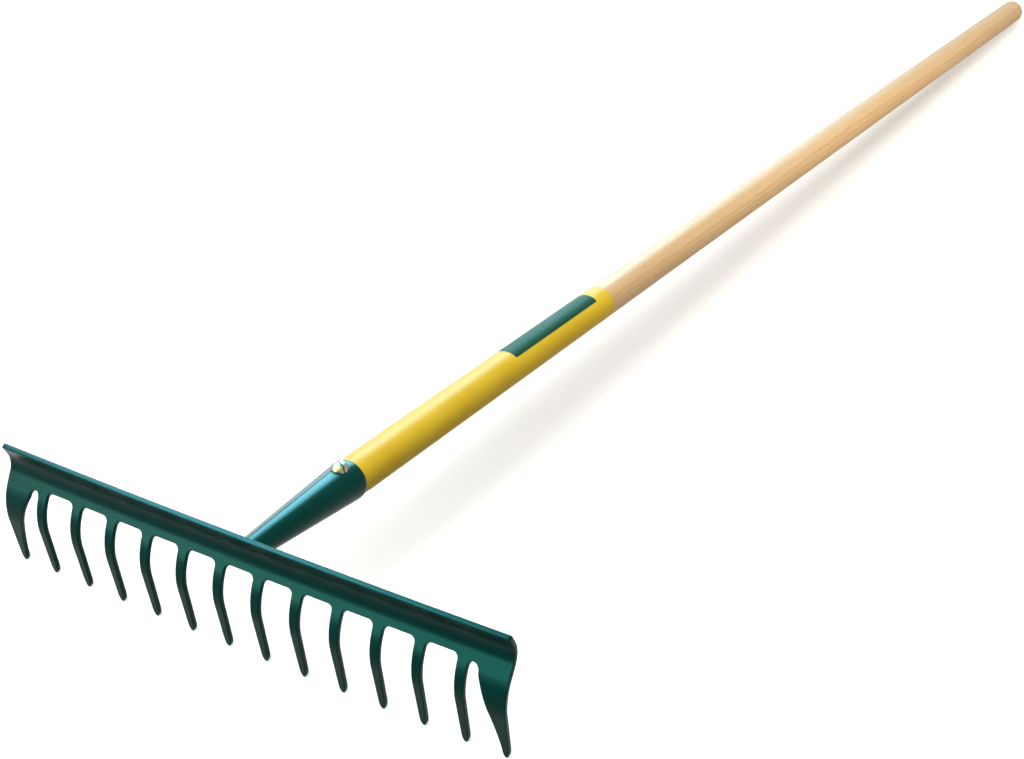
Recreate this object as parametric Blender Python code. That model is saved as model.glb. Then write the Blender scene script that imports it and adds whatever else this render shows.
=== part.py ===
"""A garden rake: a pressed steel head of fourteen teeth, a welded cone socket and a round wooden handle.

All sizes are in metres. The pieces are modelled in the rake's own frame: X runs along the head, Y along
the handle away from the head, and Z away from the tooth tips. The handle's axis is the Y axis. An empty
then lays the rake on the floor, where it rests on its tooth tips and on the end of its handle.
"""
import math

import bmesh
import bpy
import numpy as np
from mathutils import Matrix, Vector

# Clearance between two pieces that touch.
FIT = 0.0003

# Head, as a flat blank. Depths are measured along the sheet from the rim's edge.
SHEET = 0.0035
EDGE_ROUND = 0.0006
TOP_CORNER = 0.0015
NARROW_TEETH = 12
TOOTH_PITCH = 0.0304
GAP_TOP = 0.0291
TOOTH_LENGTH = 0.0690
TOOTH_NOSE = 0.0080
TOOTH_ROOT_WIDTH = 0.0074
TOOTH_TIP_WIDTH = 0.0052
GAP_FILLET = 0.0042
OUTER_GAP_WIDTH = 0.0079
OUTER_GAP_APEX = 0.0028
OUTER_GAP_ARCH = 0.0053
OUTER_GAP_DROP = 0.0019
END_TOOTH_WIDTH = 0.0212
END_TIP_WIDTH = 0.0051
END_TOOTH_DRAFT = 0.0016
END_TOOTH_HOLLOW = 0.0019

# Head, as pressed. The lip leans over the hollow, and the teeth bow forward before they lean back.
RIM_HEIGHT = 0.0170
LIP_LEAN = math.radians(56.7)
LIP_RUN = 0.0080
HOLLOW_RADIUS = 0.0176
HOLLOW_TURN = math.radians(57.8)
WAIST_RUN = 0.0066
BOW_RADIUS = 0.0417
BOW_TURN = math.radians(39.2)
HOLLOW_FOLDS = 7
BOW_FOLDS = 5

# How far both ends of the head are swept towards the handle.
END_SWEEP = 0.0024

# Handle.
HANDLE_RADIUS = 0.0140
HANDLE_END_RADIUS = 0.0131
HANDLE_START = 0.045
HANDLE_LENGTH = 1.500
HANDLE_DOME = 0.0115
TENON_CHAMFER = 0.0015
TENON_STEP = 0.00055

# Yellow lacquer over the lower handle, and the plain label on it.
LACQUER = 0.0004
LACQUER_END = 0.473
LACQUER_BARE_TIP = 0.004
LABEL_START = 0.3275
LABEL_LENGTH = 0.1255
LABEL_THICKNESS = 0.00025
LABEL_FACETS = 8

# Socket, a cone that takes the handle's tapered end.
SOCKET_LENGTH = 0.1225
SOCKET_WALL = 0.0012
SOCKET_NOSE_RADIUS = 0.0074
SOCKET_LIP_LENGTH = 0.0030
SOCKET_LIP_EDGE = 0.0003
NOSE_OVERRUN = 0.012

# Weld around the nose of the socket.
WELD_RADIUS = 0.0026
WELD_STANDOFF = 0.0006

# Screw through the top of the socket.
SCREW_SETBACK = 0.012
SCREW_HEAD_RADIUS = 0.0062
SCREW_HEAD_HEIGHT = 0.0042
SCREW_SHANK_RADIUS = 0.0022
SCREW_LENGTH = 0.020
SCREW_POINT = 0.006
SLOT_WIDTH = 0.0012
SLOT_DEPTH = 0.0012
SLOT_TURN = math.radians(-20.0)
SHANK_COVER = 0.0006
HOLE_RELIEF = 0.0006

# Facets around the turned pieces, and the points on each kind of curve.
ROUND_FACETS = 40
SCREW_FACETS = 24
WELD_STEPS = 40
WELD_FACETS = 10
NOSE_POINTS = 8
FILLET_POINTS = 3
LIP_POINTS = 4
ARCH_POINTS = 5
HOLLOW_POINTS = 6
DOME_POINTS = 7

# Times that the rake's tilt on the floor is worked out anew.
TILT_ROUNDS = 12

# Worked out from the sizes above.
BLANK_DEPTH = GAP_TOP + TOOTH_LENGTH
NOSE_START = BLANK_DEPTH - TOOTH_NOSE
OUTER_TOOTH_X = (NARROW_TEETH - 1) / 2 * TOOTH_PITCH
END_TOOTH_X = OUTER_TOOTH_X + TOOTH_ROOT_WIDTH / 2 + OUTER_GAP_WIDTH
HALF_WIDTH = END_TOOTH_X + END_TOOTH_WIDTH
HANDLE_END = HANDLE_START + HANDLE_LENGTH
SOCKET_MOUTH_RADIUS = HANDLE_RADIUS - TENON_STEP + FIT + SOCKET_WALL
SOCKET_FLARE = (SOCKET_MOUTH_RADIUS - SOCKET_NOSE_RADIUS) / SOCKET_LENGTH
TENON_SHOULDER = SOCKET_LENGTH + TENON_STEP / SOCKET_FLARE
SCREW_Y = SOCKET_LENGTH - SCREW_SETBACK


def clear_scene():
    """Removes every object that the file holds."""
    for thing in list(bpy.data.objects):
        bpy.data.objects.remove(thing, do_unlink=True)


def make_material(name, colour, roughness, metallic=0.0, coat=0.0):
    """Makes a plain Principled material."""
    material = bpy.data.materials.new(name)
    material.use_nodes = True
    shader = material.node_tree.nodes["Principled BSDF"]
    shader.inputs["Base Color"].default_value = (*colour, 1.0)
    shader.inputs["Roughness"].default_value = roughness
    shader.inputs["Metallic"].default_value = metallic
    shader.inputs["Coat Weight"].default_value = coat
    material.diffuse_color = (*colour, 1.0)
    return material


def add_object(name, bm, material=None, sharp=math.radians(35.0)):
    """Turns a bmesh into an object in the scene, with its faces pointing out, and shades it smooth."""
    bmesh.ops.recalc_face_normals(bm, faces=bm.faces)
    mesh = bpy.data.meshes.new(name)
    bm.to_mesh(mesh)
    bm.free()
    mesh.shade_smooth()
    mesh.set_sharp_from_angle(angle=sharp)
    thing = bpy.data.objects.new(name, mesh)
    bpy.context.scene.collection.objects.link(thing)
    if material is not None:
        mesh.materials.append(material)
    return thing


def add_cutter(name, bm):
    """Turns a bmesh into a cutter, which shows as wire and isn't part of the rake."""
    cutter = add_object(name, bm)
    cutter.hide_render = True
    cutter.display_type = "WIRE"
    return cutter


def cut(thing, cutter, operation="DIFFERENCE"):
    """Adds a Boolean of the cutter to an object."""
    modifier = thing.modifiers.new(cutter.name, "BOOLEAN")
    modifier.operation = operation
    modifier.solver = "EXACT"
    modifier.object = cutter


def curve_points(centre, radii, start, end, count):
    """Points along part of an ellipse, both ends included. Angles are in degrees."""
    angles = np.radians(np.linspace(start, end, count + 1))
    return [(centre[0] + radii[0] * math.cos(a), centre[1] + radii[1] * math.sin(a)) for a in angles]


def without_repeats(points, tolerance=1e-6):
    """Drops each point that lies on the one before it."""
    kept = [points[0]]
    for point in points[1:]:
        if math.dist(point, kept[-1]) > tolerance:
            kept.append(point)
    return kept


# Head.


def narrow_tooth_outline(x):
    """One narrow tooth from its outer side round the nose to its inner side, as (x, depth) points."""
    half_root = TOOTH_ROOT_WIDTH / 2
    half_tip = TOOTH_TIP_WIDTH / 2
    root = GAP_TOP + GAP_FILLET
    nose = curve_points((x, NOSE_START), (half_tip, TOOTH_NOSE), 0, 180, NOSE_POINTS)
    return [(x + half_root, root)] + nose + [(x - half_root, root)]


def end_tooth_outline():
    """The wide end tooth from the rim's corner to the arch beside it, as (x, depth) points."""
    corner_centre = (HALF_WIDTH - TOP_CORNER, TOP_CORNER)
    corner = curve_points(corner_centre, (TOP_CORNER, TOP_CORNER), -90, 0, FILLET_POINTS)
    outer_x = HALF_WIDTH - END_TOOTH_DRAFT
    tip_x = outer_x - END_TIP_WIDTH / 2
    nose = curve_points((tip_x, NOSE_START), (END_TIP_WIDTH / 2, TOOTH_NOSE), 0, 180, NOSE_POINTS)
    arch_depth = GAP_TOP + OUTER_GAP_DROP + OUTER_GAP_ARCH
    hollow = []
    for t in np.linspace(0.0, 1.0, HOLLOW_POINTS + 1):
        x = (1 - t) * nose[-1][0] + t * END_TOOTH_X + END_TOOTH_HOLLOW * 4 * t * (1 - t)
        hollow.append((float(x), float((1 - t) * NOSE_START + t * arch_depth)))
    apex = (END_TOOTH_X - OUTER_GAP_WIDTH + OUTER_GAP_APEX, arch_depth)
    arch = curve_points(apex, (OUTER_GAP_WIDTH - OUTER_GAP_APEX, OUTER_GAP_ARCH), 0, -90, ARCH_POINTS)
    arch += curve_points(apex, (OUTER_GAP_APEX, OUTER_GAP_ARCH), -90, -180, ARCH_POINTS)
    return corner + [(HALF_WIDTH, GAP_TOP)] + nose + hollow + arch


def blank_outline():
    """The whole outline of the flat blank: one half from the rim to the middle gap, then its mirror."""
    half = end_tooth_outline()
    fillet = (GAP_FILLET, GAP_FILLET)
    offset = TOOTH_ROOT_WIDTH / 2 + GAP_FILLET
    root = GAP_TOP + GAP_FILLET
    for index in range(NARROW_TEETH // 2):
        x = OUTER_TOOTH_X - index * TOOTH_PITCH
        tooth = narrow_tooth_outline(x)
        if index == 0:
            tooth = tooth[1:]
        else:
            half += curve_points((x + offset, root), fillet, -90, -180, FILLET_POINTS)
        half += tooth
        half += curve_points((x - offset, root), fillet, 0, -90, FILLET_POINTS)
    half = without_repeats(half)
    return half + [(-x, depth) for x, depth in reversed(half)]


def section_path():
    """The sheet's middle line after pressing: depths, (y, z) points and mitred forward normals.

    It starts at the rim's edge and heads back and down. Each arc is split into equal folds.
    """
    heading = LIP_LEAN
    depths = [0.0]
    points = [np.array([0.0, RIM_HEIGHT])]
    headings = []

    def run(length):
        direction = np.array([math.cos(heading), -math.sin(heading)])
        depths.append(depths[-1] + length)
        points.append(points[-1] + length * direction)
        headings.append(heading)

    run(LIP_RUN)
    arcs = ((HOLLOW_RADIUS, HOLLOW_TURN, HOLLOW_FOLDS), (BOW_RADIUS, -BOW_TURN, BOW_FOLDS))
    for radius, turn, folds in arcs:
        fold = turn / folds
        for _ in range(folds):
            heading += fold / 2
            run(radius * abs(fold))
            heading += fold / 2
        run(WAIST_RUN if turn > 0 else BLANK_DEPTH - depths[-1])
    normals = np.array([[-math.sin(a), -math.cos(a)] for a in headings])
    mitres = [normals[0]]
    for before, after in zip(normals[:-1], normals[1:]):
        mitres.append((before + after) / (1 + before @ after))
    mitres.append(normals[-1])
    return np.array(depths), np.array(points), np.array(mitres)


def blade_face(offset):
    """The (y, z) line that lies a given distance in front of the sheet's middle, or behind it if negative."""
    depths, points, mitres = section_path()
    return points + offset * mitres


def split(bm, place, normal):
    """Cuts every face of a bmesh along a plane and keeps both sides, so that the sheet can bend there."""
    everything = bm.verts[:] + bm.edges[:] + bm.faces[:]
    bmesh.ops.bisect_plane(bm, geom=everything, dist=1e-6, plane_co=place, plane_no=normal)


def sweep(x):
    """How far the head lies towards the handle at a place along it, a parabola from its middle."""
    return END_SWEEP * (x / HALF_WIDTH) ** 2


def make_head(material):
    """Cuts the comb from flat sheet, rounds its edges, presses it to the section and sweeps its ends."""
    bm = bmesh.new()
    outline = [bm.verts.new((x, -depth, 0.0)) for x, depth in blank_outline()]
    face = bm.faces.new(outline)
    grown = bmesh.ops.extrude_face_region(bm, geom=[face])["geom"]
    bmesh.ops.translate(bm, verts=[v for v in grown if isinstance(v, bmesh.types.BMVert)], vec=(0, 0, SHEET))
    rims = [e for e in bm.edges if abs(e.verts[0].co.z - e.verts[1].co.z) < SHEET / 2]
    bmesh.ops.bevel(bm, geom=rims, offset=EDGE_ROUND, segments=2, profile=0.5, affect="EDGES")
    depths, points, mitres = section_path()
    for depth in depths[1:-1]:
        split(bm, (0, -depth, 0), (0, 1, 0))
    for gap in range(1, NARROW_TEETH // 2):
        for side in (-1, 1):
            split(bm, (side * gap * TOOTH_PITCH, 0, 0), (1, 0, 0))
    for vert in bm.verts:
        depth = -vert.co.y
        forward = vert.co.z - SHEET / 2
        y = np.interp(depth, depths, points[:, 0]) + forward * np.interp(depth, depths, mitres[:, 0])
        z = np.interp(depth, depths, points[:, 1]) + forward * np.interp(depth, depths, mitres[:, 1])
        vert.co = (vert.co.x, y + sweep(vert.co.x), z)
    return add_object("rake_head", bm, material, math.radians(30.0))


def make_blade_cutter():
    """All that lies in front of the blade's back face, with clearance, as wide as the socket and weld."""
    reach = SOCKET_MOUTH_RADIUS + WELD_RADIUS
    front = -2 * NOSE_OVERRUN
    back = [(float(y), float(z)) for y, z in blade_face(-(SHEET / 2 + FIT))]
    corners = [(front, back[0][1])] + back + [(front, back[-1][1])]
    bm = bmesh.new()
    face = bm.faces.new([bm.verts.new((-reach, y, z)) for y, z in corners])
    grown = bmesh.ops.extrude_face_region(bm, geom=[face])["geom"]
    verts = [v for v in grown if isinstance(v, bmesh.types.BMVert)]
    bmesh.ops.translate(bm, verts=verts, vec=(2 * reach, 0, 0))
    return add_cutter("blade_cutter", bm)


# Turned pieces. A profile is a list of (radius, y) points.


def turned(profile, facets, closed=True):
    """Spins a profile about the Y axis into a closed bmesh. A closed profile makes a tube."""
    bm = bmesh.new()
    verts = [bm.verts.new((radius, y, 0.0)) for radius, y in profile]
    pairs = list(zip(verts[:-1], verts[1:]))
    if closed:
        pairs.append((verts[-1], verts[0]))
    edges = [bm.edges.new(pair) for pair in pairs]
    bmesh.ops.spin(bm, geom=verts + edges, cent=(0, 0, 0), axis=(0, 1, 0), steps=facets, angle=math.tau,
                   use_merge=True)
    bmesh.ops.remove_doubles(bm, verts=bm.verts, dist=1e-6)
    return bm


def socket_radius(y):
    """Outer radius of the socket's cone."""
    return SOCKET_NOSE_RADIUS + SOCKET_FLARE * y


def bore_radius(y):
    """Inner radius of the socket's cone."""
    return socket_radius(y) - SOCKET_WALL


def handle_radius(y):
    """Outer radius of the handle past its tapered end, which eases off towards the grip."""
    share = (y - TENON_SHOULDER) / (HANDLE_END - TENON_SHOULDER)
    return HANDLE_RADIUS + (HANDLE_END_RADIUS - HANDLE_RADIUS) * share


def make_socket(material):
    """The cone, with a rounded lip at its mouth and its nose run on into the blade, to be cut back."""
    lip_start = SOCKET_LENGTH - SOCKET_LIP_LENGTH
    lip_edge = bore_radius(SOCKET_LENGTH) + SOCKET_LIP_EDGE
    lip_radii = (socket_radius(lip_start) - lip_edge, SOCKET_LIP_LENGTH)
    lip = curve_points((lip_edge, lip_start), lip_radii, 0, 90, LIP_POINTS)
    start = -NOSE_OVERRUN
    profile = [(socket_radius(start), start)] + lip
    profile += [(bore_radius(SOCKET_LENGTH), SOCKET_LENGTH), (bore_radius(start), start)]
    return add_object("handle_socket", turned(profile, ROUND_FACETS), material)


def lacquer_radius(y):
    """Outer radius of the lacquer: the tapered end's as far as its shoulder, and the shank's from there."""
    if y <= TENON_SHOULDER:
        return bore_radius(y) - FIT
    return handle_radius(y)


def wood_radius(y):
    """Radius of the wood under the lacquer."""
    return lacquer_radius(y) - LACQUER - FIT


def make_handle(material):
    """The shaft: a tapered end in the socket, a long shank that eases off, and a domed grip end."""
    tip = wood_radius(HANDLE_START)
    dome_start = HANDLE_END - HANDLE_DOME
    dome = curve_points((0.0, dome_start), (handle_radius(dome_start), HANDLE_DOME), 0, 90, DOME_POINTS)
    profile = [(0.0, HANDLE_START), (tip - TENON_CHAMFER, HANDLE_START), (tip, HANDLE_START + TENON_CHAMFER)]
    profile += [(wood_radius(TENON_SHOULDER), TENON_SHOULDER), (wood_radius(LACQUER_END), LACQUER_END + FIT)]
    profile += [(handle_radius(LACQUER_END), LACQUER_END + FIT)] + dome[:-1] + [(0.0, HANDLE_END)]
    return add_object("handle_shaft", turned(profile, ROUND_FACETS, closed=False), material)


def make_lacquer(material):
    """The coat over the tapered end and the lower handle, a thin open sleeve."""
    start = HANDLE_START + LACQUER_BARE_TIP
    places = [start, TENON_SHOULDER, LACQUER_END]
    profile = [(lacquer_radius(y), y) for y in places]
    profile += [(radius - LACQUER, y) for radius, y in reversed(profile)]
    return add_object("handle_lacquer", turned(profile, ROUND_FACETS), material)


def make_label(material):
    """A plain curved plate on top of the lacquer, on the same facets."""
    facet = math.tau / ROUND_FACETS
    start = math.tau / 4 - LABEL_FACETS / 2 * facet
    end = LABEL_START + LABEL_LENGTH
    corners = [(handle_radius(LABEL_START) + FIT, LABEL_START), (handle_radius(end) + FIT, end)]
    corners += [(radius + LABEL_THICKNESS, y) for radius, y in reversed(corners)]
    bm = bmesh.new()
    edge = [bm.verts.new((radius * math.cos(start), y, radius * math.sin(start))) for radius, y in corners]
    face = bm.faces.new(edge)
    geometry = [face] + list(face.edges) + list(face.verts)
    bmesh.ops.spin(bm, geom=geometry, cent=(0, 0, 0), axis=(0, -1, 0), steps=LABEL_FACETS,
                   angle=LABEL_FACETS * facet)
    return add_object("handle_label", bm, material)


# Weld.


def make_weld(material):
    """A bead laid round the nose of the socket, against the blade's back."""
    back = blade_face(-SHEET / 2)
    heights = back[::-1, 1]
    places = back[::-1, 0]
    nose_y = float(np.interp(0.0, heights, places))
    ring = socket_radius(nose_y) + WELD_STANDOFF
    bm = bmesh.new()
    loops = []
    for step in range(WELD_STEPS):
        around = math.tau * step / WELD_STEPS
        outward = Vector((math.cos(around), 0.0, math.sin(around)))
        centre = outward * ring
        centre.y = float(np.interp(centre.z, heights, places)) + WELD_STANDOFF
        loop = []
        for facet in range(WELD_FACETS):
            turn = math.tau * facet / WELD_FACETS
            spoke = outward * math.cos(turn) + Vector((0, 1, 0)) * math.sin(turn)
            loop.append(bm.verts.new(centre + spoke * WELD_RADIUS))
        loops.append(loop)
    for step in range(WELD_STEPS):
        here = loops[step]
        there = loops[(step + 1) % WELD_STEPS]
        for facet in range(WELD_FACETS):
            after = (facet + 1) % WELD_FACETS
            bm.faces.new((here[facet], here[after], there[after], there[facet]))
    return add_object("socket_weld", bm, material, math.radians(50.0))


def make_socket_envelope(clearance, name):
    """A solid cone that holds the socket and a clearance round it, to cut what lies on it."""
    start = -NOSE_OVERRUN
    end = SOCKET_LENGTH + SCREW_SETBACK
    profile = [(0.0, start), (socket_radius(start) + clearance, start)]
    profile += [(socket_radius(end) + clearance, end), (0.0, end)]
    return add_cutter(name, turned(profile, ROUND_FACETS, closed=False))


# Screw.


def screw_axis():
    """Turns a piece modelled along Y so that it stands on the screw's place, pointing up."""
    return Matrix.Translation((0.0, SCREW_Y, 0.0)) @ Matrix.Rotation(math.tau / 4, 4, "X")


def make_screw(material, envelope):
    """A slotted round-head screw. Its head is cupped to the socket, and its point is in the wood."""
    seat = socket_radius(SCREW_Y) + FIT
    skirt = seat - SCREW_HEAD_RADIUS ** 2 / seat
    dome = curve_points((0.0, seat), (SCREW_HEAD_RADIUS, SCREW_HEAD_HEIGHT), 0, 90, DOME_POINTS)
    head = turned([(0.0, skirt), (SCREW_HEAD_RADIUS, skirt)] + dome[:-1] + [(0.0, seat + SCREW_HEAD_HEIGHT)],
                  SCREW_FACETS, closed=False)
    head.transform(screw_axis())
    screw = add_object("fixing_screw", head, material)
    cut(screw, envelope)
    slot = bmesh.new()
    bmesh.ops.create_cube(slot, size=1.0)
    slot_floor = seat + SCREW_HEAD_HEIGHT - SLOT_DEPTH
    slot_place = Matrix.Translation((0, SCREW_Y, slot_floor + SCREW_HEAD_HEIGHT / 2))
    slot.transform(Matrix.Diagonal((4 * SCREW_HEAD_RADIUS, SLOT_WIDTH, SCREW_HEAD_HEIGHT, 1.0)))
    slot.transform(slot_place @ Matrix.Rotation(SLOT_TURN, 4, "Z"))
    cut(screw, add_cutter("slot_cutter", slot))
    top = slot_floor - SHANK_COVER
    tip = seat - SCREW_LENGTH
    radius = SCREW_SHANK_RADIUS
    profile = [(0.0, tip), (radius, tip + SCREW_POINT), (radius, top), (0.0, top)]
    shank = turned(profile, SCREW_FACETS, closed=False)
    shank.transform(screw_axis())
    cut(screw, add_cutter("shank_addition", shank), "UNION")
    return screw


def make_screw_hole():
    """The hole for the screw's shank through the socket and lacquer and into the wood."""
    radius = SCREW_SHANK_RADIUS + FIT
    tip = socket_radius(SCREW_Y) + FIT - SCREW_LENGTH
    above = socket_radius(SCREW_Y) + SCREW_HEAD_RADIUS
    end = tip - HOLE_RELIEF
    profile = [(0.0, end), (radius, end + SCREW_POINT), (radius, above), (0.0, above)]
    hole = turned(profile, SCREW_FACETS, closed=False)
    hole.transform(screw_axis())
    return add_cutter("screw_hole_cutter", hole)


# Whole rake.


def lay_on_floor(head, handle, others):
    """Parents the pieces to an empty, tilted until the tooth tips and the handle's end touch the floor."""
    corners = [np.array([v.co[:] for v in thing.data.vertices]) for thing in (head, handle)]
    tilt = 0.0
    for _ in range(TILT_ROUNDS):
        heights = [places[:, 2] * math.cos(tilt) - places[:, 1] * math.sin(tilt) for places in corners]
        lows = [float(height.min()) for height in heights]
        tilt += (lows[1] - lows[0]) / HANDLE_END
    places = np.concatenate(corners)
    along = places[:, 1] * math.cos(tilt) + places[:, 2] * math.sin(tilt)
    stand = bpy.data.objects.new("rake_stand", None)
    bpy.context.scene.collection.objects.link(stand)
    stand.rotation_euler = (-tilt, 0.0, 0.0)
    stand.location = (0.0, -float(along.min() + along.max()) / 2, -min(lows))
    for thing in [head, handle, *others]:
        thing.parent = stand


def main():
    """Builds every piece and lays the rake down."""
    clear_scene()
    head = make_head(make_material("head_paint", (0.003, 0.075, 0.052), 0.28, coat=0.5))
    socket = make_socket(make_material("socket_paint", (0.003, 0.078, 0.055), 0.26, coat=0.5))
    weld = make_weld(make_material("weld_paint", (0.004, 0.070, 0.050), 0.38, coat=0.3))
    handle = make_handle(make_material("varnished_wood", (0.66, 0.40, 0.17), 0.42, coat=0.2))
    lacquer = make_lacquer(make_material("yellow_lacquer", (0.83, 0.66, 0.045), 0.25, coat=0.5))
    label = make_label(make_material("label_film", (0.012, 0.085, 0.055), 0.40))
    blade = make_blade_cutter()
    cut(socket, blade)
    cut(weld, blade)
    cut(weld, make_socket_envelope(FIT, "weld_socket_cutter"))
    screw = make_screw(make_material("zinc_plate", (0.72, 0.74, 0.66), 0.22, metallic=1.0),
                       make_socket_envelope(FIT, "screw_socket_cutter"))
    hole = make_screw_hole()
    for thing in (socket, lacquer, handle):
        cut(thing, hole)
    cutters = [thing for thing in bpy.data.objects if thing.display_type == "WIRE"]
    lay_on_floor(head, handle, [socket, weld, lacquer, label, screw, *cutters])


main()
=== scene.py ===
"""A garden rake on a pale floor: a pressed and painted head, a welded socket and a lacquered wooden handle.

The rake's own frame has X along the head, Y along the handle away from the head and Z away from the tooth
tips, with the handle's axis as its Y axis. Every surface is worked out in that frame and then laid on the
floor with the same tilt as the CAD model. All sizes are in metres.
"""
import logging
import math
from dataclasses import dataclass, field
from enum import Enum

import bmesh
import bpy
import numpy as np
from mathutils import Euler, Matrix, Vector


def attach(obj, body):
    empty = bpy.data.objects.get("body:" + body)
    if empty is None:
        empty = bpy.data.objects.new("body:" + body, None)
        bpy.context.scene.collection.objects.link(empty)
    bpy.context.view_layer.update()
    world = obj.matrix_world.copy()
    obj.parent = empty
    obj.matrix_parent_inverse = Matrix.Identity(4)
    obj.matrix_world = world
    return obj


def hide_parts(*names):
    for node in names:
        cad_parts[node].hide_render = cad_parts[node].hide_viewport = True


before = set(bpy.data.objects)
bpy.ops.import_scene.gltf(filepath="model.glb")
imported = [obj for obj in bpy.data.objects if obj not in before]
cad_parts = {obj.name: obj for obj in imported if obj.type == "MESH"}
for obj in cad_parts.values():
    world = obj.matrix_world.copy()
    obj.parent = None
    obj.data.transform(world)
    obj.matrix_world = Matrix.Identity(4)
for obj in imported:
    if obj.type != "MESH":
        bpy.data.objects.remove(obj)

log = logging.getLogger("rake")

Triple = tuple[float, float, float]
Colour = tuple[float, float, float]
Span = tuple[float, float]
Grid = tuple[np.ndarray, np.ndarray]
Socket = bpy.types.NodeSocket
Value = float | tuple[float, ...] | Socket

# Points of two patches that lie closer than this are joined.
JOIN = 2e-6

# Allowance for rounding where points are sorted by their place.
NEARLY = 1e-7

# Depth from the thin end of the CAD shaft within which its points give a first axis.
SHAFT_END = 0.002

# The same depth for that end's flat face, which makes the axis exact in a few rounds.
SHAFT_FACE = 0.0001
AXIS_ROUNDS = 3

# Growth rings in a metre of the stick's wood.
RING_COUNT = 330.0


class Slot(Enum):
    """Material slot names, one for each piece of the rake."""

    HEAD = "head_paint"
    SOCKET = "socket_paint"
    WELD = "weld_paint"
    ZINC = "zinc_plate"
    WOOD = "varnished_wood"
    LACQUER = "yellow_lacquer"
    LABEL = "label_film"


class Face(Enum):
    """The two faces of the sheet, as the sign of the way forward."""

    FRONT = 1.0
    BACK = -1.0


class Reach(Enum):
    """What a lamp lights: everything, only what mirrors it, or only what scatters it."""

    ALL = "all"
    GLOSS = "gloss"
    MATT = "matt"


# Frame and meshes.


@dataclass(frozen=True)
class Stand:
    """How the rake lies on the floor: its own origin's place and its tilt about X."""

    y: float
    z: float
    tilt: float

    @classmethod
    def under(cls, shaft: bpy.types.Object, handle_end: float) -> "Stand":
        """Reads the stand from the CAD shaft, whose two ends lie on the handle's axis.

        Args:
            shaft: the CAD node of the wooden shaft.
            handle_end: place of the grip end along the handle.

        Returns:
            The stand on which the CAD model lies.
        """
        flat = np.empty(len(shaft.data.vertices) * 3)
        shaft.data.vertices.foreach_get("co", flat)
        points = flat.reshape(-1, 3)
        far = points[points[:, 1].argmax()]
        along = (points - far) @ np.array([0.0, -1.0, 0.0])
        near = points[along > along.max() - SHAFT_END].mean(axis=0)
        for _ in range(AXIS_ROUNDS):
            way = (near - far) / np.linalg.norm(near - far)
            along = (points - far) @ way
            near = points[along > along.max() - SHAFT_FACE].mean(axis=0)
        way = (far - near) / np.linalg.norm(far - near)
        origin = far - handle_end * way
        return cls(float(origin[1]), float(origin[2]), math.atan2(way[2], way[1]))

    def matrix(self) -> Matrix:
        """Takes the rake's own frame to the floor's."""
        return Matrix.Translation((0.0, self.y, self.z)) @ Matrix.Rotation(self.tilt, 4, "X")


@dataclass
class Skin:
    """The patches that make up one closed surface, in the rake's own frame."""

    points: list[np.ndarray] = field(default_factory=list)
    marks: list[np.ndarray] = field(default_factory=list)
    faces: list[np.ndarray] = field(default_factory=list)
    count: int = 0

    def add(self, grid: np.ndarray, mark: float = 0.0, round_rows: bool = False,
            round_columns: bool = False) -> "Skin":
        """Adds a grid of points, with a face between each four neighbours.

        Args:
            grid: points as rows, columns and the three coordinates.
            mark: value of the point attribute "edge" on the grid.
            round_rows: True where the last row joins the first.
            round_columns: True where the last column joins the first.

        Returns:
            The skin itself.
        """
        rows, columns = grid.shape[:2]
        order = self.count + np.arange(rows * columns).reshape(rows, columns)
        if round_rows:
            order = np.vstack([order, order[:1]])
        if round_columns:
            order = np.hstack([order, order[:, :1]])
        corners = [order[:-1, :-1], order[1:, :-1], order[1:, 1:], order[:-1, 1:]]
        self.faces.append(np.stack(corners, axis=-1).reshape(-1, 4))
        self.points.append(grid.reshape(-1, 3))
        self.marks.append(np.broadcast_to(mark, grid.shape[:2]).reshape(-1))
        self.count += rows * columns
        return self

    def piece(self, name: str, stand: Stand, sharp: float = 35.0) -> bpy.types.Object:
        """Joins the patches where they meet, turns the faces outwards and lays the piece on the floor.

        Args:
            name: name of the new object.
            stand: how the rake lies on the floor.
            sharp: angle in degrees from which an edge is shaded as sharp.

        Returns:
            The object, at the origin, with its place in its mesh.
        """
        mesh = bpy.data.meshes.new(name)
        mesh.from_pydata(np.concatenate(self.points).tolist(), [], np.concatenate(self.faces).tolist())
        edge = mesh.attributes.new("edge", "FLOAT", "POINT")
        edge.data.foreach_set("value", np.concatenate(self.marks).astype(np.float32))
        bm = bmesh.new()
        bm.from_mesh(mesh)
        bmesh.ops.remove_doubles(bm, verts=bm.verts, dist=JOIN)
        bmesh.ops.recalc_face_normals(bm, faces=bm.faces)
        bm.to_mesh(mesh)
        bm.free()
        mesh.transform(stand.matrix())
        smooth(mesh, sharp)
        return link(name, mesh)


def link(name: str, data: bpy.types.ID) -> bpy.types.Object:
    """Makes an object of a mesh, a lamp or a camera and puts it in the scene.

    Args:
        name: name of the new object.
        data: what the object shows.

    Returns:
        The new object.
    """
    thing = bpy.data.objects.new(name, data)
    bpy.context.scene.collection.objects.link(thing)
    return thing


def smooth(mesh: bpy.types.Mesh, sharp: float) -> None:
    """Shades a mesh smooth, apart from edges that turn by more than an angle in degrees."""
    mesh.shade_smooth()
    mesh.set_sharp_from_angle(angle=math.radians(sharp))


def whole_turn(steps: int) -> np.ndarray:
    """The angles of a whole turn in even steps, without the last, which is the first again."""
    return math.tau * np.arange(steps) / steps


def quarter_turn(steps: int) -> np.ndarray:
    """The angles of a quarter turn in even steps, from the first to the last."""
    return np.radians(np.linspace(0, 90, steps + 1))


def shares(steps: int) -> np.ndarray:
    """Even shares from 0 to 1, one to a row."""
    return np.linspace(0.0, 1.0, steps + 1)[:, None]


def pairs(first: np.ndarray | float, second: np.ndarray | float) -> np.ndarray:
    """Two coordinates as rows of pairs, where a single number goes with each of the others."""
    return np.stack(np.broadcast_arrays(first, second), axis=-1)


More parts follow.
